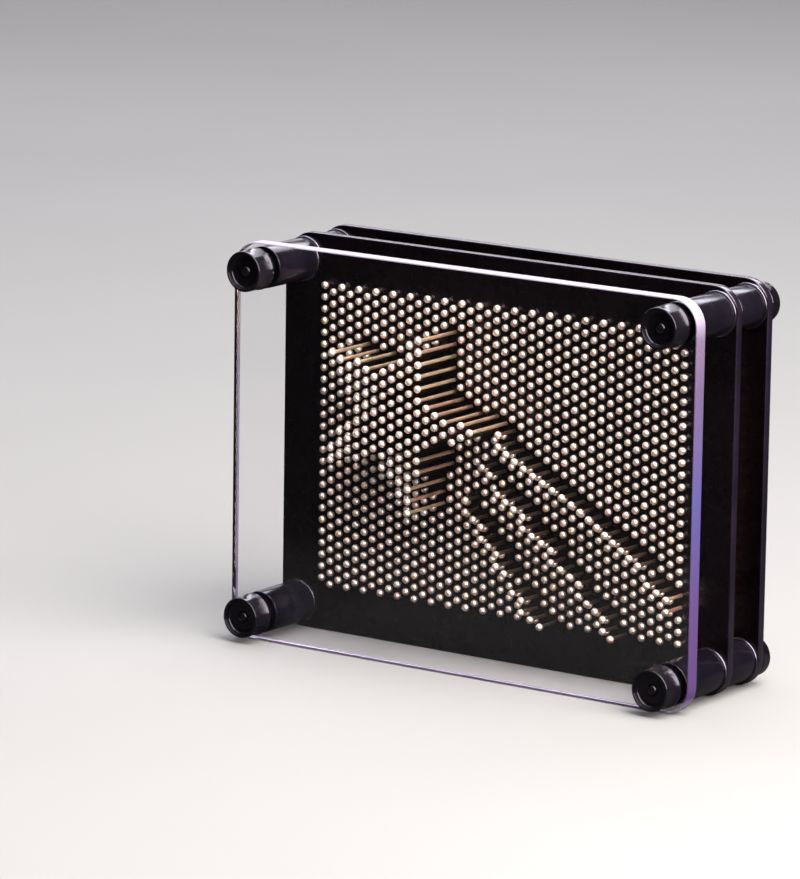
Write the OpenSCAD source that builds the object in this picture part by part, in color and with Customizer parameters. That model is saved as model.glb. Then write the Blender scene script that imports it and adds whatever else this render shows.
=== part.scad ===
// Pin impression toy: a bed of sliding pins between a clear window and two guide plates.
// Millimetres. X is width, Y is depth with the window towards -Y, Z is up.
// The origin is at the bottom centre of the whole toy, tails of the pins included.

/* [Plates] */
// Width of the clear window
window_w = 128; // [100:1:180]
// Height of the window and of both guide plates
plate_h = 95.25; // [70:0.25:140]
// Thickness of the clear window
window_t = 3.6; // [2.5:0.1:6]
// How much narrower each guide plate is than the window
plate_inset = 1.7; // [0:0.1:3]
// Thickness of each guide plate
guide_t = 2.2; // [1.6:0.1:4]
// Corner radius of the window and the guide plates
corner_r = 6.5; // [2:0.5:12]

/* [Stack] */
// Clear depth between the window and the front guide plate
front_gap = 16; // [10:0.5:30]
// Clear depth between the two guide plates
rear_gap = 11; // [6:0.5:25]

/* [Posts] */
// Distance of each post axis from the nearer side edge of the window
post_inset = 6.75; // [5:0.25:12]
// Distance of each post axis from the top or bottom edge of the window
post_end_inset = 6.25; // [5:0.25:12]
// Outer diameter of the spacers
post_d = 10; // [8:0.5:14]
// Diameter of the tie rods
rod_d = 4; // [3:0.5:6]
// Thickness of the washer at the rear end of each spacer
washer_t = 1.2; // [0.6:0.1:2]
// Length of each cap in front of the window
cap_l = 5.8; // [4:0.2:10]
// Length of each cap behind the rear guide plate
rear_cap_l = 3.6; // [3:0.2:8]

/* [Pins] */
// Distance between neighbouring pins
pitch = 2.82; // [2.4:0.02:4]
// Number of upright columns of pins
columns = 42; // [12:6:60]
// Number of pins in each column
rows = 26; // [10:1:40]
// Diameter of a pin's round head
head_d = 1.8; // [1.2:0.1:2.4]
// Diameter of a pin's shaft
shaft_d = 0.9; // [0.6:0.05:1.4]

/* [Impression] */
// Distance from the centre of the star to its points
star_r = 25; // [10:1:35]
// Mean height of the three trails above the seated pins
trail_lift = 5.4; // [0:0.2:10]

/* [Hidden] */

$fn = 48;
slide_fit = 0.05;      // radial clearance of a pin in its hole and of a rod in its bore
head_gap = 0.05;       // gap left where a head rests against a plate or the window
guide_w = window_w - 2 * plate_inset;
hole_d = shaft_d + 2 * slide_fit;
bore_d = rod_d + 2 * slide_fit;

// Travel of a pin from seated on the front guide plate to touching the window.
travel = front_gap - head_d - 2 * head_gap;
tail_reserve = 1;      // length still behind the rear guide plate at full lift
tail_l = travel + tail_reserve;

// Depths, counted from the front face of the caps.
window_y = cap_l;
front_guide_y = window_y + window_t + front_gap;
rear_guide_y = front_guide_y + guide_t + rear_gap;
rear_cap_y = rear_guide_y + guide_t;
total_depth = rear_cap_y + tail_l;
y0 = -total_depth / 2;

// Posts
post_x = window_w / 2 - post_inset;
post_low = post_end_inset;
post_high = plate_h - post_end_inset;
LEFT_TOP = [-post_x, post_high];
RIGHT_TOP = [post_x, post_high];
LEFT_BOTTOM = [-post_x, post_low];
RIGHT_BOTTOM = [post_x, post_low];
POSTS = [LEFT_TOP, RIGHT_TOP, LEFT_BOTTOM, RIGHT_BOTTOM];
cap_web = 2.2;         // thickness of a cap between its end face and its blind bore
cap_rim = 0.8;         // width of the raised rim round a cap's end
cap_dish = 1.5;        // depth of the dished end inside that rim
nub_r = 1.6;           // radius of the low nub in the middle of the dish
nub_h = 0.9;           // height of that nub
washer_d = post_d + 0.6;

// Pin profile
head_r = head_d / 2;
shaft_r = shaft_d / 2;
tip_l = 0.5;           // length of the blunt cone at the tail
tip_r = 0.25;
pin_l = head_d + head_gap + guide_t + rear_gap + guide_t + tail_l;

// Pattern, measured from the centre of the plates
column_step = pitch * sqrt(3) / 2;
plate_centre = plate_h / 2;
star_x = -21;
star_y = 9.8;
star_notch_r = star_r * 0.42;
star_tilt = -3;
trail_half_w = 1.3;
UPPER_TRAIL = [[2, 9], [6, 3.6], [40.5, -16.2], [51, -27]];
MIDDLE_TRAIL = [[-2, 0], [36, -36]];
LOWER_TRAIL = [[-7, -9.2], [15.5, -37]];
trail_wave = 0.9;      // how far the lift rises and falls along a trail
wave_length = 34;
blocks = 7;
block_columns = columns / blocks;

// ---- pattern ----------------------------------------------------------------

function site(c, r) = [(c - (columns - 1) / 2) * column_step,
    (r - (rows - 1) / 2) * pitch + (c % 2 == 0 ? 1 : -1) * pitch / 4];

// Angle from the nearest point of the star, 0 to 36 degrees.
function star_fold(a) = let(turn = (a + 396) - 72 * floor((a + 396) / 72)) abs(turn - 36);

function in_star(p) =
    let(q = p - [star_x, star_y],
        a = star_fold(atan2(q.y, q.x) - star_tilt),
        v = norm(q) * [cos(a), sin(a)],
        tip = [star_r, 0],
        edge = star_notch_r * [cos(36), sin(36)] - tip)
    edge.x * (v.y - tip.y) - edge.y * (v.x - tip.x) >= 0;

function to_segment(p, a, b) =
    let(s = (p - a) * (b - a) / ((b - a) * (b - a)))
    norm(p - a - max(0, min(1, s)) * (b - a));

function on_path(p, path) =
    min([for (i = [0:len(path) - 2]) to_segment(p, path[i], path[i + 1])]) < trail_half_w;

// 0 seated, 1 star, 2 to 4 the trails from top to bottom
function zone(p) = in_star(p) ? 1 :
    on_path(p, UPPER_TRAIL) ? 2 :
    on_path(p, MIDDLE_TRAIL) ? 3 :
    on_path(p, LOWER_TRAIL) ? 4 : 0;

function trail_height(p) = trail_lift + trail_wave * sin(360 * p.x / wave_length);

// ---- shapes -----------------------------------------------------------------

// Turns a shape drawn along +Z so that it runs towards the rear.
module rearward(x, y, z) {
    translate([x, y, z])
        rotate([-90, 0, 0])
            children();
}

module plate_outline(w) {
    hull()
        for (sx = [-1, 1], sz = [-1, 1])
            translate([sx * (w / 2 - corner_r), sz * (plate_h / 2 - corner_r)])
                circle(r = corner_r);
}

module post_holes() {
    for (p = POSTS)
        translate([p.x, plate_centre - p.y])
            circle(d = bore_d);
}

module pin_holes() {
    for (c = [0:columns - 1], r = [0:rows - 1])
        translate([site(c, r).x, -site(c, r).y])
            circle(d = hole_d);
}

module pin() {
    translate([0, 0, head_r])
        sphere(d = head_d);
    translate([0, 0, head_r])
        cylinder(d = shaft_d, h = pin_l - tip_l - head_r);
    translate([0, 0, pin_l - tip_l])
        cylinder(r1 = shaft_r, r2 = tip_r, h = tip_l);
}

// Pins of one zone in columns first to last, each lifted off its seat.
module pins(which, first = 0, last = columns - 1) {
    for (c = [first:last], r = [0:rows - 1]) {
        p = site(c, r);
        lift = which == 0 ? 0 : which == 1 ? travel : trail_height(p);
        if (zone(p) == which)
            rearward(p.x, y0 + front_guide_y - head_gap - head_d - lift, plate_centre + p.y)
                pin();
    }
}

module ring(d, hole, l) {
    rotate_extrude()
        polygon([[hole / 2, 0], [d / 2, 0], [d / 2, l], [hole / 2, l]]);
}

// End cap with its dished face at 0 and its blind bore open at length l.
module cap(l) {
    r = post_d / 2;
    rotate_extrude()
        polygon([[0, cap_dish - nub_h], [nub_r / 2, cap_dish - 0.7 * nub_h], [nub_r, cap_dish],
            [r - cap_rim - 0.4, cap_dish], [r - cap_rim, 0], [r - 0.4, 0],
            [r - 0.2, 0.4], [r, l], [bore_d / 2, l], [bore_d / 2, cap_web], [0, cap_web]]);
}

module front_cap(at) {
    rearward(at.x, y0, at.y)
        cap(cap_l);
}

module rear_cap(at) {
    translate([at.x, y0 + rear_cap_y + rear_cap_l, at.y])
        rotate([90, 0, 0])
            cap(rear_cap_l);
}

module front_spacer(at) {
    rearward(at.x, y0 + window_y + window_t, at.y)
        ring(post_d, bore_d, front_gap - washer_t);
}

module rear_spacer(at) {
    rearward(at.x, y0 + front_guide_y + guide_t, at.y)
        ring(post_d, bore_d, rear_gap - washer_t);
}

module tie_rod(at) {
    rearward(at.x, y0 + cap_web, at.y)
        cylinder(d = rod_d, h = rear_cap_y + rear_cap_l - 2 * cap_web);
}

// ---- sub-parts --------------------------------------------------------------

module clear_window() color("lavender")
    rearward(0, y0 + window_y, plate_centre)
        linear_extrude(window_t)
            difference() {
                plate_outline(window_w);
                post_holes();
            }

module guide_plate(y)
    rearward(0, y, plate_centre)
        linear_extrude(guide_t)
            difference() {
                plate_outline(guide_w);
                post_holes();
                pin_holes();
            }

module front_guide_plate() color("black") guide_plate(y0 + front_guide_y);
module rear_guide_plate() color("black") guide_plate(y0 + rear_guide_y);

module front_cap_top_left() color("dimgray") front_cap(LEFT_TOP);
module front_cap_top_right() color("dimgray") front_cap(RIGHT_TOP);
module front_cap_bottom_left() color("dimgray") front_cap(LEFT_BOTTOM);
module front_cap_bottom_right() color("dimgray") front_cap(RIGHT_BOTTOM);

module rear_cap_top_left() color("dimgray") rear_cap(LEFT_TOP);
module rear_cap_top_right() color("dimgray") rear_cap(RIGHT_TOP);
module rear_cap_bottom_left() color("dimgray") rear_cap(LEFT_BOTTOM);
module rear_cap_bottom_right() color("dimgray") rear_cap(RIGHT_BOTTOM);

module front_spacer_top_left() color("black") front_spacer(LEFT_TOP);
module front_spacer_top_right() color("black") front_spacer(RIGHT_TOP);
module front_spacer_bottom_left() color("black") front_spacer(LEFT_BOTTOM);
module front_spacer_bottom_right() color("black") front_spacer(RIGHT_BOTTOM);

module rear_spacer_top_left() color("black") rear_spacer(LEFT_TOP);
module rear_spacer_top_right() color("black") rear_spacer(RIGHT_TOP);
module rear_spacer_bottom_left() color("black") rear_spacer(LEFT_BOTTOM);
module rear_spacer_bottom_right() color("black") rear_spacer(RIGHT_BOTTOM);

module tie_rod_top_left() color("silver") tie_rod(LEFT_TOP);
module tie_rod_top_right() color("silver") tie_rod(RIGHT_TOP);
module tie_rod_bottom_left() color("silver") tie_rod(LEFT_BOTTOM);
module tie_rod_bottom_right() color("silver") tie_rod(RIGHT_BOTTOM);

module washers(y)
    for (at = POSTS)
        rearward(at.x, y - washer_t, at.y)
            ring(washer_d, bore_d, washer_t);

module front_washers() color("gray") washers(y0 + front_guide_y);
module rear_washers() color("gray") washers(y0 + rear_guide_y);

module star_pins() color("gold") pins(1);
module upper_trail_pins() color("gold") pins(2);
module middle_trail_pins() color("gold") pins(3);
module lower_trail_pins() color("gold") pins(4);

module field_block(i) color("silver")
    pins(0, (i - 1) * block_columns, i * block_columns - 1);

module field_pins_1() field_block(1);
module field_pins_2() field_block(2);
module field_pins_3() field_block(3);
module field_pins_4() field_block(4);
module field_pins_5() field_block(5);
module field_pins_6() field_block(6);
module field_pins_7() field_block(7);

clear_window();
front_guide_plate();
rear_guide_plate();
front_cap_top_left();
front_cap_top_right();
front_cap_bottom_left();
front_cap_bottom_right();
rear_cap_top_left();
rear_cap_top_right();
rear_cap_bottom_left();
rear_cap_bottom_right();
front_spacer_top_left();
front_spacer_top_right();
front_spacer_bottom_left();
front_spacer_bottom_right();
rear_spacer_top_left();
rear_spacer_top_right();
rear_spacer_bottom_left();
rear_spacer_bottom_right();
tie_rod_top_left();
tie_rod_top_right();
tie_rod_bottom_left();
tie_rod_bottom_right();
front_washers();
rear_washers();
star_pins();
upper_trail_pins();
middle_trail_pins();
lower_trail_pins();
field_pins_1();
field_pins_2();
field_pins_3();
field_pins_4();
field_pins_5();
field_pins_6();
field_pins_7();
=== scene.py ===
import math
import random

import bmesh
import bpy
from mathutils import Matrix, Vector
from mathutils.geometry import delaunay_2d_cdt


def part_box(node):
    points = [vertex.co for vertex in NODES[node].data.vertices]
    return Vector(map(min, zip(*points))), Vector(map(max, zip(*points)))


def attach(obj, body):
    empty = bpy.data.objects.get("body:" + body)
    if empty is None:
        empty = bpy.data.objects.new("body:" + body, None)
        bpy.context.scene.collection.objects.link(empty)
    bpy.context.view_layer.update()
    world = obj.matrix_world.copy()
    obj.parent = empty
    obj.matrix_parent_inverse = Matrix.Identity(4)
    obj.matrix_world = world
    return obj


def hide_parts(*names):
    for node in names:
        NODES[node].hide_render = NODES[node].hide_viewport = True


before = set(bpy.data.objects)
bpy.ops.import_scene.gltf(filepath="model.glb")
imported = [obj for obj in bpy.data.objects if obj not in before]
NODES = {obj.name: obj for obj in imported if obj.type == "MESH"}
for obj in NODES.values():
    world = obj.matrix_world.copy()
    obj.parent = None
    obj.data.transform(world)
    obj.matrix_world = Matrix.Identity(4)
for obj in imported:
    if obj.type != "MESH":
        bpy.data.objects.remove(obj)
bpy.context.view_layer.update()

MM = 0.001

# ---- camera -----------------------------------------------------------------

CAMERA_AZIMUTH = 34.86    # degrees round to the right of the window's front
CAMERA_ELEVATION = 11.54
CAMERA_ROLL = 0.86
CAMERA_DISTANCE = 1.3613
CAMERA_AIM = Vector((-0.0216, -0.0141, 0.0516))
CAMERA_LENS = 263.5


def towards(azimuth, elevation):
    """Direction from the toy, azimuth in degrees from its front round to the right."""
    a = math.radians(azimuth)
    e = math.radians(elevation)
    return Vector((math.sin(a) * math.cos(e), -math.cos(a) * math.cos(e), math.sin(e)))


def facing(direction, roll=0.0):
    """Rotation of a camera or light that looks back along the direction."""
    turn = direction.to_track_quat("Z", "Y").to_matrix()
    return (turn @ Matrix.Rotation(math.radians(roll), 3, "Z")).to_euler()


def add_camera():
    data = bpy.data.cameras.new("view")
    data.sensor_fit = "HORIZONTAL"
    data.sensor_width = 36
    data.lens = CAMERA_LENS
    data.clip_end = 20
    camera = bpy.data.objects.new("view", data)
    out = towards(CAMERA_AZIMUTH, CAMERA_ELEVATION)
    camera.location = CAMERA_AIM + out * CAMERA_DISTANCE
    camera.rotation_euler = facing(out, CAMERA_ROLL)
    bpy.context.scene.collection.objects.link(camera)
    bpy.context.scene.camera = camera


# ---- materials --------------------------------------------------------------

PAPER_NEAR = 0.03        # how pale the paper close to the toy looks in reflections
PAPER_FAR = 0.006        # the same further off, as if black cards lay out of view
WINDOW_HEIGHT = 0.09525  # metres, over which the painted light on the window's edge changes


class Graph:
    """A material's node tree with short calls for the nodes used here."""

    def __init__(self, name):
        self.material = bpy.data.materials.new(name)
        self.material.use_nodes = True
        self.tree = self.material.node_tree
        self.shader = self.tree.nodes["Principled BSDF"]
        self.output = self.tree.nodes["Material Output"]

    def node(self, kind, **values):
        made = self.tree.nodes.new(kind)
        for key, value in values.items():
            setattr(made, key, value)
        return made

    def link(self, source, target):
        self.tree.links.new(source, target)

    def place(self, stretch=(1, 1, 1)):
        """Object coordinates, stretched."""
        coords = self.node("ShaderNodeTexCoord")
        scale = self.node("ShaderNodeMapping")
        scale.inputs["Scale"].default_value = stretch
        self.link(coords.outputs["Object"], scale.inputs["Vector"])
        return scale.outputs["Vector"]

    def noise(self, scale, detail=4.0, rough=0.55, stretch=(1, 1, 1)):
        made = self.node("ShaderNodeTexNoise")
        made.inputs["Scale"].default_value = scale
        made.inputs["Detail"].default_value = detail
        made.inputs["Roughness"].default_value = rough
        self.link(self.place(stretch), made.inputs["Vector"])
        return made.outputs["Fac"]

    def ranged(self, source, low, high, start=0.3, end=0.7):
        made = self.node("ShaderNodeMapRange")
        made.inputs["From Min"].default_value = start
        made.inputs["From Max"].default_value = end
        made.inputs["To Min"].default_value = low
        made.inputs["To Max"].default_value = high
        self.link(source, made.inputs["Value"])
        return made.outputs["Result"]

    def ramp(self, source, *stops):
        made = self.node("ShaderNodeValToRGB")
        points = made.color_ramp.elements
        while len(points) < len(stops):
            points.new(0.5)
        for point, (place, colour) in zip(points, stops):
            point.position = place
            point.color = (*colour, 1)
        self.link(source, made.inputs["Fac"])
        return made.outputs["Color"]

    def bump(self, source, depth, strength=0.4, under=None):
        made = self.node("ShaderNodeBump")
        made.inputs["Distance"].default_value = depth
        made.inputs["Strength"].default_value = strength
        self.link(source, made.inputs["Height"])
        if under is not None:
            self.link(under, made.inputs["Normal"])
        return made.outputs["Normal"]

    def set(self, **values):
        for key, value in values.items():
            self.shader.inputs[key.replace("_", " ")].default_value = value

    def feed(self, name, source):
        self.link(source, self.shader.inputs[name])


def moulded_plastic(name, dark, pale, gloss, shine):
    """Injection-moulded black plastic: faint clouding, fine grain and slow waves of the mould."""
    g = Graph(name)
    cloud = g.noise(90, 5)
    g.feed("Base Color", g.ramp(cloud, (0.35, dark), (0.75, pale)))
    smear = g.noise(170, 6, 0.7)
    g.feed("Roughness", g.ranged(smear, gloss - 0.03, gloss + 0.05))
    grain = g.bump(g.noise(1500, 3), 0.00002, 0.2)
    g.feed("Normal", g.bump(g.noise(60, 2), 0.0001, 0.05, grain))
    g.set(IOR=1.5, Specular_IOR_Level=shine, Specular_Tint=(0.93, 0.86, 1.0, 1))
    return g.material


def clear_acrylic():
    """Polished clear sheet that lets lamps through."""
    g = Graph("clear_acrylic_face")
    g.feed("Base Color", g.ramp(g.noise(14, 3), (0.3, (0.97, 0.965, 0.99)), (0.7, (1, 1, 1))))
    g.feed("Roughness", g.ranged(g.noise(55, 6, 0.6), 0.0, 0.035, 0.45, 0.75))
    g.set(IOR=1.49, Transmission_Weight=1.0, Specular_IOR_Level=0.28)
    lit = g.node("ShaderNodeLightPath")
    through = g.node("ShaderNodeBsdfTransparent")
    through.inputs["Color"].default_value = (0.93, 0.93, 0.95, 1)
    mix = g.node("ShaderNodeMixShader")
    g.link(lit.outputs["Is Shadow Ray"], mix.inputs["Fac"])
    g.link(g.shader.outputs["BSDF"], mix.inputs[1])
    g.link(through.outputs["BSDF"], mix.inputs[2])
    g.link(mix.outputs["Shader"], g.output.inputs["Surface"])
    return g.material


def acrylic_edge():
    """Saw-cut and flamed edge of the sheet: frosted, lavender, with fine cutter marks, and
    painted light that changes its colour from bottom to top.
    """
    g = Graph("clear_acrylic_edge")
    marks = g.noise(30, 4, 0.6)
    where = g.node("ShaderNodeSeparateXYZ")
    g.link(g.place(), where.inputs["Vector"])
    up = g.ranged(where.outputs["Z"], 0.0, 1.0, 0.0, WINDOW_HEIGHT)
    marks_and_painted_light = g.node("ShaderNodeMath", operation="MULTIPLY_ADD")
    marks_and_painted_light.inputs[1].default_value = 0.08
    g.link(marks, marks_and_painted_light.inputs[0])
    g.link(up, marks_and_painted_light.inputs[2])
    # painted light: the colour runs with height, pale at the bottom, dark violet and blue-violet
    # through the middle, lighter pink and near white at the top; the cutter marks only shift it a
    # little
    g.feed("Base Color", g.ramp(
        marks_and_painted_light.outputs["Value"], (0.03, (0.34, 0.30, 0.42)), (0.08, (0.05, 0.025, 0.09)),
        (0.3, (0.055, 0.03, 0.10)), (0.55, (0.05, 0.045, 0.15)), (0.8, (0.08, 0.055, 0.115)),
        (0.94, (0.11, 0.078, 0.13)), (1.0, (0.24, 0.21, 0.29))))
    g.feed("Roughness", g.ranged(marks, 0.2, 0.4))
    g.feed("Normal", g.bump(g.noise(500, 3, 0.5, (1, 0.1, 1)), 0.00004, 0.3))
    g.set(IOR=1.49, Transmission_Weight=0.2, Specular_IOR_Level=0.25)
    return g.material


def pin_metal(name, tones, gloss, spread, shaded):
    """Plated wire whose tone varies from pin to pin, with painted shade that dims its colour down
    to shaded deep among the others.
    """
    g = Graph(name)
    own = g.node("ShaderNodeAttribute", attribute_name="pin_tone")
    # painted shade: a per-pin value of painted light scales the base colour, together with a real
    # unevenness of the plating
    painted_light_attr = g.node("ShaderNodeAttribute", attribute_name="pin_painted_light")
    dim = g.node("ShaderNodeVectorMath", operation="SCALE")
    g.link(g.ramp(own.outputs["Fac"], *tones), dim.inputs[0])
    unevenness_and_painted_shade = g.node("ShaderNodeMath", operation="MULTIPLY")
    g.link(g.ranged(painted_light_attr.outputs["Fac"], shaded, 1.0, 0.0, 1.0), unevenness_and_painted_shade.inputs[0])
    g.link(g.ranged(g.noise(140, 3), 0.7, 1.0), unevenness_and_painted_shade.inputs[1])
    g.link(unevenness_and_painted_shade.outputs["Value"], dim.inputs["Scale"])
    g.feed("Base Color", dim.outputs["Vector"])
    worn = g.noise(900, 4)
    g.feed("Roughness", g.ranged(worn, gloss, gloss + spread))
    g.feed("Normal", g.bump(worn, 0.00002, 0.2))
    g.set(Metallic=1.0)
    return g.material


def turned_metal(name, dark, pale, gloss):
    """Machined metal with fine lathe rings."""
    g = Graph(name)
    rings = g.noise(1400, 4, 0.6, (0.15, 1, 0.15))
    g.feed("Base Color", g.ramp(rings, (0.35, dark), (0.65, pale)))
    g.feed("Roughness", g.ranged(rings, gloss - 0.06, gloss + 0.1))
    g.feed("Normal", g.bump(rings, 0.00003, 0.3))
    g.set(Metallic=1.0)
    return g.material


def studio_paper():
    """Pale paper, which reflections see as if black cards lay on it away from the toy."""
    g = Graph("studio_paper")
    tone = g.ramp(g.noise(3, 3), (0.3, (0.165, 0.165, 0.165)), (0.7, (0.177, 0.177, 0.176)))
    ray = g.node("ShaderNodeLightPath")
    mix = g.node("ShaderNodeMix", data_type="RGBA")
    away = g.node("ShaderNodeVectorMath", operation="LENGTH")
    g.link(g.place(), away.inputs[0])
    g.link(g.ranged(away.outputs["Value"], PAPER_NEAR, PAPER_FAR, 0.08, 0.17), mix.inputs["B"])
    g.link(g.ranged(ray.outputs["Glossy Depth"], 0.0, 1.0, 0.0, 1.0), mix.inputs["Factor"])
    g.link(tone, mix.inputs["A"])
    g.feed("Base Color", mix.outputs["Result"])
    g.feed("Roughness", g.ranged(g.noise(30, 4), 0.7, 0.9))
    g.set(Specular_IOR_Level=0.0)
    return g.material


PLATE_BLACK = moulded_plastic(
    "plate_black", (0.0010, 0.0004, 0.0008), (0.0020, 0.0010, 0.0016), gloss=0.26, shine=0.22)
PLATE_EDGE = moulded_plastic(
    "plate_black_edge", (0.003, 0.002, 0.004), (0.006, 0.004, 0.008), gloss=0.22, shine=0.7)
CAP_BLACK = moulded_plastic(
    "cap_black", (0.002, 0.0015, 0.0028), (0.005, 0.004, 0.006), gloss=0.17, shine=0.32)
SPACER_BLACK = moulded_plastic(
    "spacer_black", (0.002, 0.0015, 0.003), (0.005, 0.004, 0.007), gloss=0.2, shine=0.32)
WINDOW_FACE = clear_acrylic()
WINDOW_EDGE = acrylic_edge()
HEAD_TONES = (
    (0.0, (0.86, 0.66, 0.60)), (0.2, (0.95, 0.78, 0.69)),
    (0.85, (0.96, 0.82, 0.72)), (1.0, (0.92, 0.76, 0.56)))
SHAFT_TONES = (
    (0.0, (0.72, 0.42, 0.31)), (0.3, (0.80, 0.54, 0.38)),
    (0.7, (0.86, 0.64, 0.44)), (1.0, (0.88, 0.72, 0.50)))
HEAD_METAL = pin_metal("pin_head_nickel", HEAD_TONES, gloss=0.42, spread=0.10, shaded=1.0)
# painted shade: shafts deep among the others are dimmed to 0.05 of their colour; heads keep
# theirs
SHAFT_METAL = pin_metal("pin_shaft_wire", SHAFT_TONES, gloss=0.42, spread=0.14, shaded=0.05)
ROD_STEEL = turned_metal("rod_steel", (0.50, 0.50, 0.52), (0.64, 0.63, 0.62), gloss=0.3)
WASHER_METAL = turned_metal("washer_metal", (0.07, 0.06, 0.08), (0.12, 0.11, 0.14), gloss=0.26)

# ---- mesh helpers -----------------------------------------------------------


def add_piece(name, points, faces, materials, body, replaced, smooth=True, sharp=35):
    """Links a mesh given in millimetres, and ties it to the CAD."""
    mesh = bpy.data.meshes.new(name)
    mesh.from_pydata([(x * MM, y * MM, z * MM) for x, y, z in points], [], faces)
    for material in materials:
        mesh.materials.append(material)
    if smooth:
        mesh.shade_smooth()
        mesh.set_sharp_from_angle(angle=math.radians(sharp))
    piece = bpy.data.objects.new(name, mesh)
    bpy.context.scene.collection.objects.link(piece)
    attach(piece, body)
    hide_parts(*replaced)
    return piece


def node_box(node):
    """A node's lowest and highest corners in millimetres."""
    low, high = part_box(node)
    return low / MM, high / MM


def lathe(profile, x, z, steps, closed=False):
    """Points and faces of a (radius, y) profile turned about the y axis through x, z."""
    points = []
    rings = []
    for radius, y in profile:
        if radius == 0:
            rings.append([len(points)] * steps)
            points.append((x, y, z))
            continue
        rings.append(list(range(len(points), len(points) + steps)))
        for i in range(steps):
            a = 2 * math.pi * i / steps
            points.append((x + radius * math.cos(a), y, z + radius * math.sin(a)))
    if closed:
        rings.append(rings[0])
    faces = []
    for near, far in zip(rings, rings[1:]):
        for i in range(steps):
            j = (i + 1) % steps
            corners = [near[i], near[j], far[j], far[i]]
            face = [c for k, c in enumerate(corners) if c != corners[k - 1]]
            if len(face) > 2:
                faces.append(face)
    return points, faces


def face_outwards(piece):
    """Makes a closed mesh's normals point outwards."""
    mesh = piece.data
    work = bmesh.new()
    work.from_mesh(mesh)
    bmesh.ops.recalc_face_normals(work, faces=work.faces)
    work.to_mesh(mesh)
    work.free()


def arc(centre, radius, start, end, steps):
    """Points of an arc in a profile, angles in degrees."""
    made = []
    for i in range(steps + 1):
        a = math.radians(start + (end - start) * i / steps)
        made.append((centre[0] + radius * math.cos(a), centre[1] + radius * math.sin(a)))
    return made


# ---- posts ------------------------------------------------------------------

CORNERS = ("top_left", "top_right", "bottom_left", "bottom_right")
ROUND_STEPS = 64
ROD_STEPS = 32
BORE_R = 2.05
CAP_R = 5.0
CAP_WEB = 2.25           # thickness of a cap between its dish and its bore
SPACER_EDGE = 0.25       # rounding of a spacer's ends
WASHER_R = 5.3
WASHER_EDGE = 0.3
ROD_CHAMFER = 0.5
GROOVES = 5              # thread grooves at each end of a rod
GROOVE_STEP = 0.5
GROOVE_DEPTH = 0.22
GROOVES_START = 1.0      # from the front end
GROOVES_BACK = 3.4       # from the rear end


def centre_of(low, high):
    return (low.x + high.x) / 2, (low.z + high.z) / 2


def cap_profile(length):
    """Closed (radius, depth) profile of an end cap, its dished end at depth 0."""
    dome = [(0, 0.4), (0.26, 0.42), (0.51, 0.49), (0.75, 0.6), (0.96, 0.75), (1.15, 0.94)]
    dome += [(1.3, 1.15), (1.41, 1.39), (1.47, 1.5)]
    dish = [(2.6, 1.5), (3.5, 1.46), (3.9, 1.3), (4.08, 0.9), (4.14, 0.3)]
    rim = arc((4.34, 0.2), 0.2, 180, 270, 4) + arc((4.5, 0.3), 0.3, -75, 0, 5)
    side = [(4.82, 0.8), (4.8, length - 0.95)]
    flange = [(4.95, length - 0.8), (CAP_R, length - 0.65), (CAP_R, length - 0.25)]
    flange += [(4.93, length - 0.08), (4.8, length)]
    bore = [(BORE_R + 0.2, length), (BORE_R, length - 0.2), (BORE_R, CAP_WEB), (0, CAP_WEB)]
    return dome + dish + rim + side + flange + bore


def add_cap(node, rear):
    low, high = node_box(node)
    x, z = centre_of(low, high)
    length = high.y - low.y
    profile = cap_profile(length)
    if rear:
        profile = [(radius, high.y - depth) for radius, depth in profile]
    else:
        profile = [(radius, low.y + depth) for radius, depth in profile]
    points, faces = lathe(profile, x, z, ROUND_STEPS)
    piece = add_piece(
        node + "_moulded", points, faces, [CAP_BLACK], "frame", [node], sharp=60)
    face_outwards(piece)


def ring(x, z, low_y, high_y, radius, edge):
    """Points and faces of a tube with rounded ends, for a spacer or a washer."""
    profile = [(BORE_R, low_y + edge), (BORE_R + edge, low_y)]
    profile += arc((radius - edge, low_y + edge), edge, -90, 0, 4)
    profile += arc((radius - edge, high_y - edge), edge, 0, 90, 4)
    profile += [(BORE_R + edge, high_y), (BORE_R, high_y - edge)]
    return lathe(profile, x, z, ROUND_STEPS, closed=True)


def add_spacer(node):
    low, high = node_box(node)
    x, z = centre_of(low, high)
    radius = (high.x - low.x) / 2
    points, faces = ring(x, z, low.y, high.y, radius, SPACER_EDGE)
    piece = add_piece(
        node + "_moulded", points, faces, [SPACER_BLACK], "frame", [node])
    face_outwards(piece)


def add_washers(node, posts):
    low, high = node_box(node)
    points = []
    faces = []
    for x, z in posts:
        more, sides = ring(x, z, low.y, high.y, WASHER_R, WASHER_EDGE)
        faces += [[c + len(points) for c in side] for side in sides]
        points += more
    piece = add_piece(
        node + "_turned", points, faces, [WASHER_METAL], "frame", [node])
    face_outwards(piece)


def add_rod(node):
    low, high = node_box(node)
    x, z = centre_of(low, high)
    radius = (high.x - low.x) / 2
    profile = [(0, low.y), (radius - ROD_CHAMFER, low.y), (radius, low.y + ROD_CHAMFER)]
    for start in (low.y + GROOVES_START, high.y - GROOVES_BACK):
        for k in range(GROOVES):
            y = start + GROOVE_STEP * k
            profile += [(radius, y), (radius - GROOVE_DEPTH, y + 0.2), (radius, y + 0.4)]
    profile += [(radius, high.y - ROD_CHAMFER), (radius - ROD_CHAMFER, high.y), (0, high.y)]
    points, faces = lathe(profile, x, z, ROD_STEPS)
    piece = add_piece(node + "_threaded", points, faces, [ROD_STEEL], "frame", [node])
    face_outwards(piece)


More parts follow.
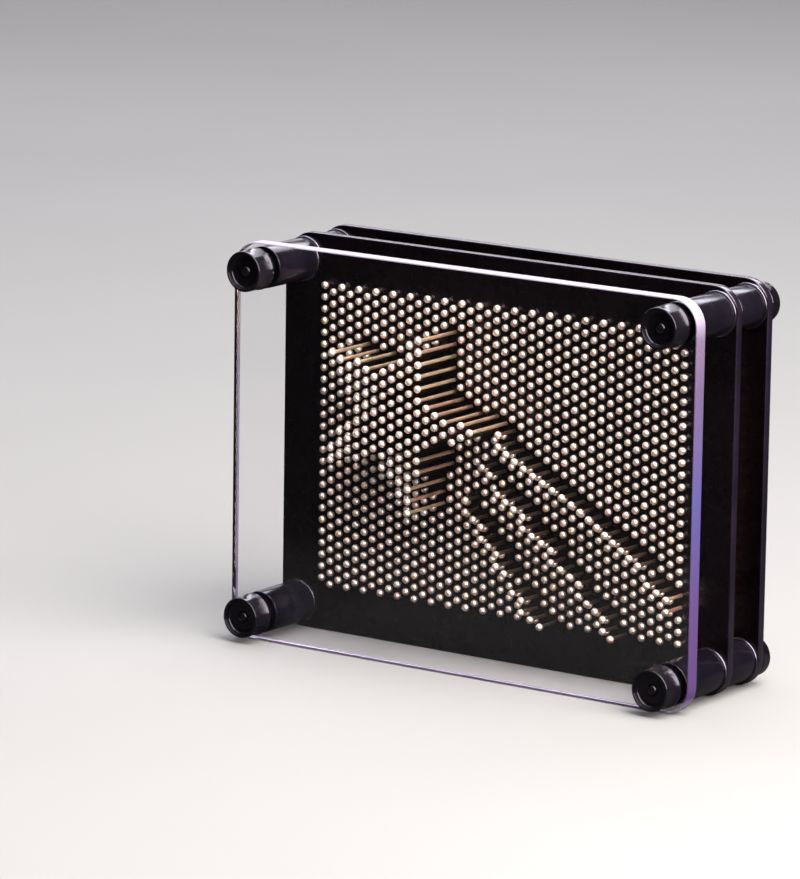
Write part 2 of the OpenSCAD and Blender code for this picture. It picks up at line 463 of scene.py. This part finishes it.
def add_posts():
    """Adds all four posts, and returns the (x, z) of each."""
    posts = []
    for corner in CORNERS:
        posts.append(centre_of(*node_box("tie_rod_" + corner)))
        add_cap("front_cap_" + corner, False)
        add_cap("rear_cap_" + corner, True)
        add_spacer("front_spacer_" + corner)
        add_spacer("rear_spacer_" + corner)
        add_rod("tie_rod_" + corner)
    add_washers("front_washers", posts)
    add_washers("rear_washers", posts)
    return posts


# ---- plates -----------------------------------------------------------------

CORNER_R = 6.5
CORNER_STEPS = 14
EDGE_STEPS = 4
WINDOW_ROUNDING = 0.35
PLATE_ROUNDING = 0.3
LEFT_FACING = -0.7       # a face whose normal has less than this in x is at the left edge
PIN_HOLE_R = 0.5
PIN_HOLE_STEPS = 10
POST_HOLE_STEPS = 32


def rounded_outline(low, high, inset):
    """(x, z) points round a plate, drawn in by inset."""
    radius = CORNER_R - inset
    made = []
    centres = [
        (high.x - CORNER_R, high.z - CORNER_R, 0), (low.x + CORNER_R, high.z - CORNER_R, 90),
        (low.x + CORNER_R, low.z + CORNER_R, 180), (high.x - CORNER_R, low.z + CORNER_R, 270)]
    for x, z, turn in centres:
        for i in range(CORNER_STEPS + 1):
            a = math.radians(turn + 90 * i / CORNER_STEPS)
            made.append((x + radius * math.cos(a), z + radius * math.sin(a)))
    return made


def circle(x, z, radius, steps):
    made = []
    for i in range(steps):
        a = 2 * math.pi * (i + 0.5) / steps
        made.append((x + radius * math.cos(a), z + radius * math.sin(a)))
    return made


def flat_with_holes(outline, holes):
    """Triangles that fill an outline but not its holes. The points come back in order."""
    flat = [Vector(p) for p in outline]
    edges = [(i, (i + 1) % len(flat)) for i in range(len(flat))]
    for hole in holes:
        start = len(flat)
        flat += [Vector(p) for p in hole]
        edges += [(start + i, start + (i + 1) % len(hole)) for i in range(len(hole))]
    owner = [-1] * len(outline)
    for k, hole in enumerate(holes):
        owner += [k] * len(hole)
    result = delaunay_2d_cdt(flat, edges, [], 0, 1e-6)
    made, triangles, source = result[0], result[2], result[3]
    name = [entry[0] for entry in source]
    kept = []
    for triangle in triangles:
        corners = [name[i] for i in triangle]
        owners = {owner[c] for c in corners}
        if len(owners) == 1:
            if -1 not in owners:
                continue
        kept.append(corners)
    return flat, kept


def plate_mesh(low, high, edge, holes):
    """Points, faces, and each face's part: 0 for the broad faces and holes, 1 for the edge."""
    profile = []
    for i in range(EDGE_STEPS + 1):
        a = math.radians(90 * i / EDGE_STEPS)
        profile.append((edge * (1 - math.sin(a)), low.y + edge * (1 - math.cos(a))))
    profile += [(inset, low.y + high.y - y) for inset, y in reversed(profile)]
    rings = []
    points = []
    for inset, y in profile:
        ring = rounded_outline(low, high, inset)
        rings.append(range(len(points), len(points) + len(ring)))
        points += [(x, y, z) for x, z in ring]
    faces = []
    parts = []
    around = len(rings[0])
    for near, far in zip(rings, rings[1:]):
        for i in range(around):
            j = (i + 1) % around
            faces.append([near[i], far[i], far[j], near[j]])
            parts.append(1)
    flat, triangles = flat_with_holes(rounded_outline(low, high, edge), holes)
    sides = []
    for y, ring in ((low.y, rings[0]), (high.y, rings[-1])):
        start = len(points)
        index = list(ring) + [start + i for i in range(len(flat) - around)]
        points += [(p.x, y, p.y) for p in flat[around:]]
        sides.append(index)
        for corners in triangles:
            face = [index[c] for c in corners]
            faces.append(face if y == low.y else face[::-1])
            parts.append(0)
    front, rear = sides
    start = around
    for hole in holes:
        count = len(hole)
        for i in range(count):
            a = start + i
            b = start + (i + 1) % count
            faces.append([front[a], front[b], rear[b], rear[a]])
            parts.append(0)
        start += count
    return points, faces, parts


def add_plate(node, label, edge, holes, materials):
    """Adds a plate with materials for its broad faces and for its edge, save the left one."""
    low, high = node_box(node)
    points, faces, parts = plate_mesh(low, high, edge, holes)
    piece = add_piece(node + label, points, faces, materials, "frame", [node], smooth=False)
    for polygon, part in zip(piece.data.polygons, parts):
        polygon.use_smooth = part == 1
        polygon.material_index = 0 if polygon.normal.x < LEFT_FACING else part


# ---- pins -------------------------------------------------------------------

PIN_NODES = [
    "star_pins", "upper_trail_pins", "middle_trail_pins", "lower_trail_pins",
    "field_pins_1", "field_pins_2", "field_pins_3", "field_pins_4",
    "field_pins_5", "field_pins_6", "field_pins_7"]
PITCH = 2.82             # between pins of one column
COLUMNS = 42
ROWS = 26
COLUMN_STEP = PITCH * math.sqrt(3) / 2
PIN_STEPS = 12
HEAD_R = 0.9
HEAD_ANGLES = (18, 36, 54, 72, 90, 108, 125)
SHAFT_R = 0.42
FULL_LIFT = 14.1        # how far a pin moves from the plate to the window
TAIL_SHADED = 11.0      # a tail's colour carries painted shade from the others up to here from its end
TAIL_CLEAR = 5.0        # and no painted shade from here
TONE_SEED = 7


def column_shift(c):
    """How far a column stands above or below the middle."""
    return (PITCH if c % 2 == 0 else -PITCH) / 4


def seats_of(node, middle_z):
    """The y of the head's front and of the tail's end for each (column, row) in a CAD node."""
    ends = {}
    for vertex in NODES[node].data.vertices:
        x, y, z = vertex.co / MM
        c = round(x / COLUMN_STEP + (COLUMNS - 1) / 2)
        r = round((z - middle_z - column_shift(c)) / PITCH + (ROWS - 1) / 2)
        first, last = ends.get((c, r), (y, y))
        ends[c, r] = (min(first, y), max(last, y))
    return ends


def place_of(c, r, middle_z):
    """The (x, z) of the pin in a column and row."""
    x = (c - (COLUMNS - 1) / 2) * COLUMN_STEP
    return x, middle_z + (r - (ROWS - 1) / 2) * PITCH + column_shift(c)


def light_on(c, r, seats):
    """How much light from the upper right or from outside the bed is painted onto a pin's shaft,
    standing in for the shade the other pins cast.
    """
    if c in (0, COLUMNS - 1) or r == ROWS - 1:
        return 1.0
    upper_right = (c + 1, r + 1 if c % 2 == 0 else r)
    if upper_right not in seats:
        return 0.0
    above = max(0.0, seats[upper_right][0] - seats[c, r][0]) / FULL_LIFT
    return above * above


def pin_profile(first, last):
    """(radius, y) points from the head's front to the tail's end, and how many are the head."""
    head = [(0, first)]
    for degrees in HEAD_ANGLES:
        a = math.radians(degrees)
        head.append((HEAD_R * math.sin(a), first + HEAD_R * (1 - math.cos(a))))
    head.append((0.58, first + HEAD_R * 1.78))
    head.append((SHAFT_R, first + HEAD_R * 2.0))
    shaft = [(SHAFT_R, last - TAIL_SHADED), (SHAFT_R, last - TAIL_CLEAR), (SHAFT_R, last - 0.5)]
    point = [(0.35, last - 0.3), (0.26, last - 0.08), (0.15, last), (0, last)]
    return head + shaft + point, len(head)


def add_pins(node, middle_z, seats, draw):
    """Adds a group of pins as one piece, with each pin's tone and the painted light and shade on
    it.
    """
    points = []
    faces = []
    parts = []
    tones = []
    painted_light_values = []
    for (c, r), (first, last) in sorted(seats_of(node, middle_z).items()):
        x, z = place_of(c, r, middle_z)
        profile, head = pin_profile(first, last)
        more, sides = lathe(profile, x, z, PIN_STEPS)
        head_points = 1 + (head - 1) * PIN_STEPS
        for side in sides:
            parts.append(0 if max(side) < head_points else 1)
        faces += [[corner + len(points) for corner in side] for side in sides]
        points += more
        tone = draw.random()
        tones += [tone] * len(more)
        # painted shade: each shaft's colour is darkened unless light is painted on it, and its
        # tail's end is painted fully lit
        lit = light_on(c, r, seats)
        for _, y, _ in more:
            painted_tail_light = (y - last + TAIL_SHADED) / (TAIL_SHADED - TAIL_CLEAR)
            painted_light_values.append(max(lit, min(1.0, painted_tail_light)))
    piece = add_piece(
        node + "_plated", points, faces, [HEAD_METAL, SHAFT_METAL], node, [node], sharp=70)
    for polygon, part in zip(piece.data.polygons, parts):
        polygon.material_index = part
    for label, values in (("pin_tone", tones), ("pin_painted_light", painted_light_values)):
        attribute = piece.data.attributes.new(label, "FLOAT", "POINT")
        attribute.data.foreach_set("value", values)
    face_outwards(piece)


# ---- stage ------------------------------------------------------------------

LIGHTS_AIM = Vector((0, 0, 0.05))
BEND_STEPS = 16

def add_stage():
    """A sheet of pale paper that lies under the toy and curves up far behind it."""
    width = 3.0
    front = -2.2
    bend = 1.6
    radius = 0.7
    height = 1.6
    line = [(front, 0.0)]
    for i in range(BEND_STEPS + 1):
        a = math.radians(90 * i / BEND_STEPS)
        line.append((bend + radius * math.sin(a), radius * (1 - math.cos(a))))
    line.append((bend + radius, height))
    points = []
    for y, z in line:
        points += [(-width, y, z), (width, y, z)]
    faces = [[2 * i, 2 * i + 1, 2 * i + 3, 2 * i + 2] for i in range(len(line) - 1)]
    mesh = bpy.data.meshes.new("paper_sweep")
    mesh.from_pydata(points, [], faces)
    mesh.materials.append(studio_paper())
    mesh.shade_smooth()
    paper = bpy.data.objects.new("paper_sweep", mesh)
    paper.rotation_euler = (0, 0, math.radians(CAMERA_AZIMUTH))
    bpy.context.scene.collection.objects.link(paper)


def add_light(name, azimuth, elevation, distance, size, power, colour):
    """A soft box that faces the toy and stays out of the camera's view."""
    data = bpy.data.lights.new(name, "AREA")
    data.shape = "RECTANGLE"
    data.size, data.size_y = size
    data.energy = power
    data.color = colour
    lamp = bpy.data.objects.new(name, data)
    out = towards(azimuth, elevation)
    lamp.location = LIGHTS_AIM + out * distance
    lamp.rotation_euler = facing(out)
    lamp.visible_camera = False
    bpy.context.scene.collection.objects.link(lamp)


def add_world(strength):
    world = bpy.data.worlds.new("studio")
    world.use_nodes = True
    background = world.node_tree.nodes["Background"]
    background.inputs["Color"].default_value = (0.95, 0.95, 1.0, 1)
    background.inputs["Strength"].default_value = strength
    bpy.context.scene.world = world


# ---- assembly ---------------------------------------------------------------

add_camera()
add_stage()
add_world(0.03)
add_light("key_box", 80, 42, 0.72, (0.7, 1.05), 41, (1.0, 0.94, 0.89))
add_light("top_box", 0, 84, 0.9, (0.8, 0.5), 8, (0.93, 0.92, 1.0))
add_light("rim_strip", 215, 40, 1.3, (1.4, 0.3), 14, (0.92, 0.90, 1.0))
add_light("back_wash", 205, 62, 1.8, (1.6, 1.0), 34, (1.0, 1.0, 1.0))
add_light("low_strip", 215, 13, 1.5, (1.6, 0.35), 3, (0.93, 0.90, 1.0))
bpy.context.scene.view_settings.view_transform = "Standard"

middle = centre_of(*node_box("front_guide_plate"))[1]
posts = add_posts()
post_circles = [circle(x, z, BORE_R, POST_HOLE_STEPS) for x, z in posts]
pin_seats = {}
for pin_node in PIN_NODES:
    pin_seats.update(seats_of(pin_node, middle))
pin_circles = []
for c, r in sorted(pin_seats):
    pin_circles.append(circle(*place_of(c, r, middle), PIN_HOLE_R, PIN_HOLE_STEPS))
add_plate(
    "clear_window", "_pane", WINDOW_ROUNDING, post_circles,
    [WINDOW_FACE, WINDOW_EDGE])
for guide in ("front_guide_plate", "rear_guide_plate"):
    add_plate(
        guide, "_moulded", PLATE_ROUNDING, post_circles + pin_circles,
        [PLATE_BLACK, PLATE_EDGE])
shades = random.Random(TONE_SEED)
for pin_node in PIN_NODES:
    add_pins(pin_node, middle, pin_seats, shades)
